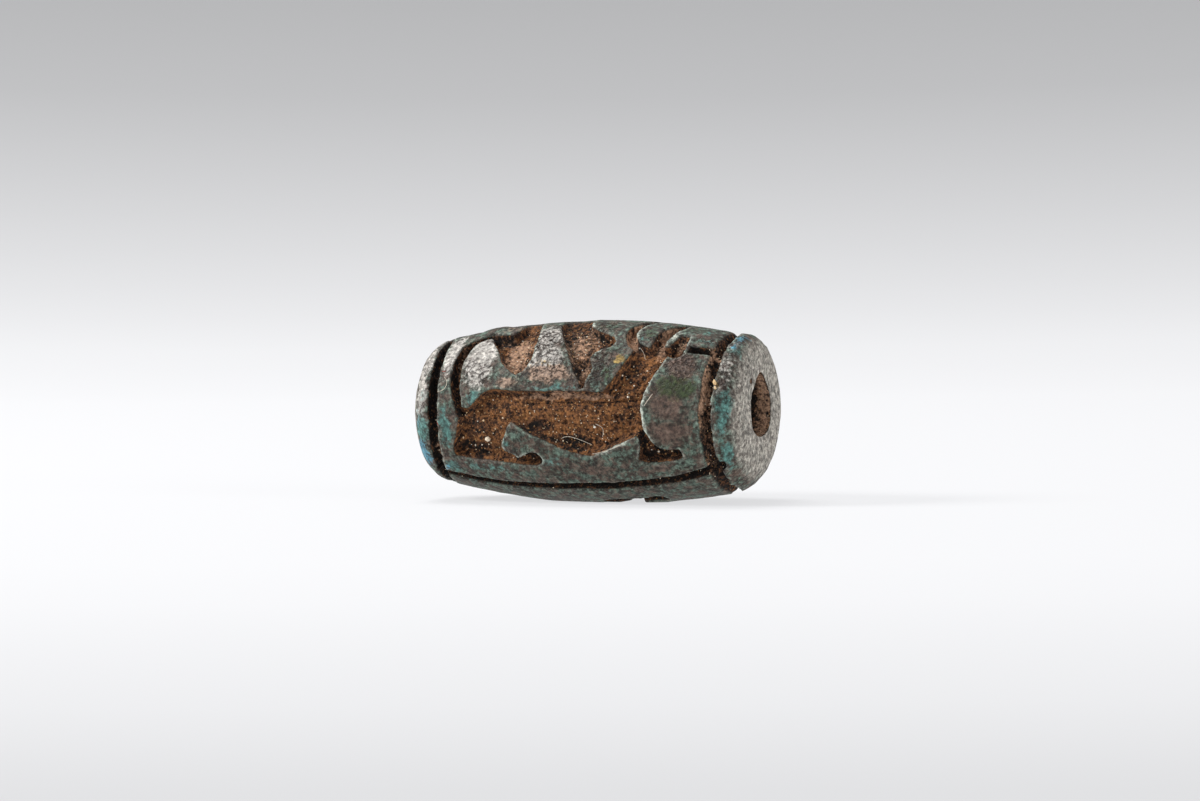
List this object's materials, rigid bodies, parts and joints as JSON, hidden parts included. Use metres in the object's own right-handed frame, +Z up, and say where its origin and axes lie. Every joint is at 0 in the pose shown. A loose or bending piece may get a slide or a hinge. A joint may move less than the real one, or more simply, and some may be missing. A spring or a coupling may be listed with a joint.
{
  "type": "cylinder seal",
  "caption": "Small barrel-shaped stone bead bored lengthwise for a string, its sides carved with sunk animal figures between ring grooves, for rolling an impression.",
  "frame": {"origin": "on the flat that the bead rests on, straight below the middle of its length and its axis", "axes": "+X along the axis towards the end whose bore shows from the front, +Y away from the front frieze, +Z up"},
  "size_m": [0.0188, 0.0096, 0.0097],
  "materials": {
    "glazed_steatite": "matte"
  },
  "bodies": {
    "root": {"seal": "glazed_steatite"}
  },
  "joints": []
}
